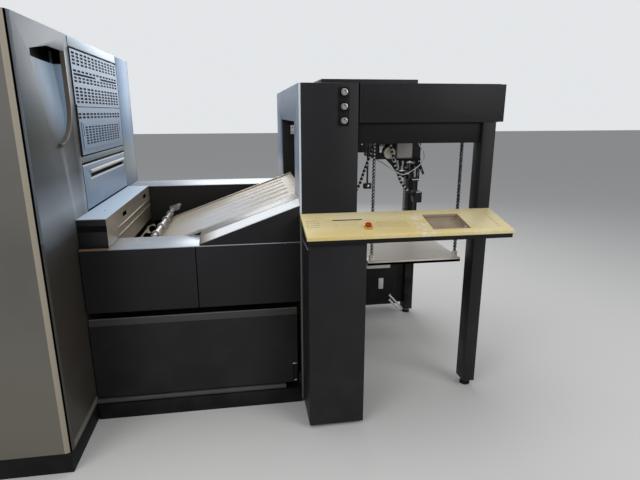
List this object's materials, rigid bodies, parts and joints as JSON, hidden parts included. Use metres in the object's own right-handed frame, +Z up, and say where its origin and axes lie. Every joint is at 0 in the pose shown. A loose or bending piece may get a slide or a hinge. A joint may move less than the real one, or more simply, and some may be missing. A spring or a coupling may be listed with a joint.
{
  "type": "sheet-fed offset printing press, feeder end with first printing unit",
  "caption": "Feeder, feed table and first printing unit of a sheet-fed offset press, with a lifting plate, a tilted control desk and guards that open",
  "frame": {"origin": "centre of the footprint, on the floor", "axes": "+X along the press from the printing unit to the feeder, +Y from the operator's side to the drive side, +Z up"},
  "size_m": [3.276, 2.09, 2.09],
  "materials": {
    "cover_grey": "satin warm grey powder coat",
    "panel_silver": "metallic silver blue lacquer, satin",
    "dark_cover": "satin anthracite powder coat",
    "black_metal": "matt black paint",
    "rail_steel": "brushed, satin",
    "board_tan": "brushed steel board, dusty with use",
    "tape_cloth": "woven conveyor tape",
    "desk_cream": "cream textured lacquer",
    "button_red": "gloss red",
    "base_yellow": "gloss yellow",
    "knob_metal": "turned, satin",
    "chain_black": "oiled black steel",
    "plate_steel": "worn bare steel",
    "head_grey": "grey cast housing",
    "hose_black": "ribbed black rubber",
    "line_white": "flexible white plastic"
  },
  "bodies": {
    "root": {"unit_plinth": "black_metal", "unit_housing": "black_metal", "operator_cover": "cover_grey", "near_end_panel": "panel_silver", "drive_cover": "cover_grey", "far_end_panel": "panel_silver", "top_cap": "panel_silver", "upper_vent_guard": "panel_silver", "framed_vent_guard": "panel_silver", "guard_strip": "dark_cover", "guard_hinges": "head_grey", "flap_hinges": "black_metal", "grab_handle": "dark_cover", "coupling_wall": "cover_grey", "infeed_guard": "panel_silver", "table_plinth": "black_metal", "table_bed": "black_metal", "side_panel_left": "dark_cover", "side_panel_right": "dark_cover", "front_rail": "rail_steel", "slope_cover": "dark_cover", "slope_plate": "rail_steel", "foot_bar": "black_metal", "back_cover": "dark_cover", "back_rail": "rail_steel", "feed_board": "board_tan", "feed_tapes": "tape_cloth", "wheel_bar": "head_grey", "feeder_end_panel": "panel_silver", "front_column": "dark_cover", "back_column": "dark_cover", "front_beam": "dark_cover", "back_beam": "dark_cover", "front_valance": "black_metal", "front_post": "dark_cover", "back_post": "dark_cover", "post_feet": "black_metal", "feeder_lid": "dark_cover", "desk_cabinet": "dark_cover", "desk_tray": "black_metal", "desk_top": "desk_cream", "stop_base": "base_yellow", "knob_plate": "black_metal", "lift_chains": "chain_black", "suction_head": "head_grey", "side_hose": "hose_black", "head_hose": "hose_black", "air_line": "line_white", "drive_box": "black_metal"},
    "swing_guard": {"swing_guard": "panel_silver"},
    "front_flap": {"front_flap": "dark_cover"},
    "lift_plate": {"lift_plate": "plate_steel"},
    "stop_button": {"stop_button": "button_red"},
    "air_knob_1": {"air_knob_1": "knob_metal"},
    "air_knob_2": {"air_knob_2": "knob_metal"},
    "air_knob_3": {"air_knob_3": "knob_metal"}
  },
  "joints": [
    {"name": "swing_guard_lift", "type": "hinge", "parent": "root", "child": "swing_guard", "pos_m": [-0.686, 0.135, 1.411], "axis": [0, -1, 0], "range_deg": [0, 75]},
    {"name": "front_flap_fold", "type": "hinge", "parent": "root", "child": "front_flap", "pos_m": [-0.1, -0.605, 0.15], "axis": [1, 0, 0], "range_deg": [0, 80]},
    {"name": "pile_lift", "type": "slide", "parent": "root", "child": "lift_plate", "axis": [0, 0, 1], "range_m": [-0.7, 0.22], "deforming": ["lift_chains"]},
    {"name": "stop_button_press", "type": "slide", "parent": "root", "child": "stop_button", "axis": [0, -0.2079, 0.9781], "range_m": [-0.004, 0]},
    {"name": "air_knob_1_turn", "type": "hinge", "parent": "root", "child": "air_knob_1", "pos_m": [0.729, -0.6155, 1.803], "axis": [0, -1, 0], "range_deg": [-150, 150]},
    {"name": "air_knob_2_turn", "type": "hinge", "parent": "root", "child": "air_knob_2", "pos_m": [0.729, -0.6155, 1.731], "axis": [0, -1, 0], "range_deg": [-150, 150]},
    {"name": "air_knob_3_turn", "type": "hinge", "parent": "root", "child": "air_knob_3", "pos_m": [0.729, -0.6155, 1.659], "axis": [0, -1, 0], "range_deg": [-150, 150]}
  ]
}
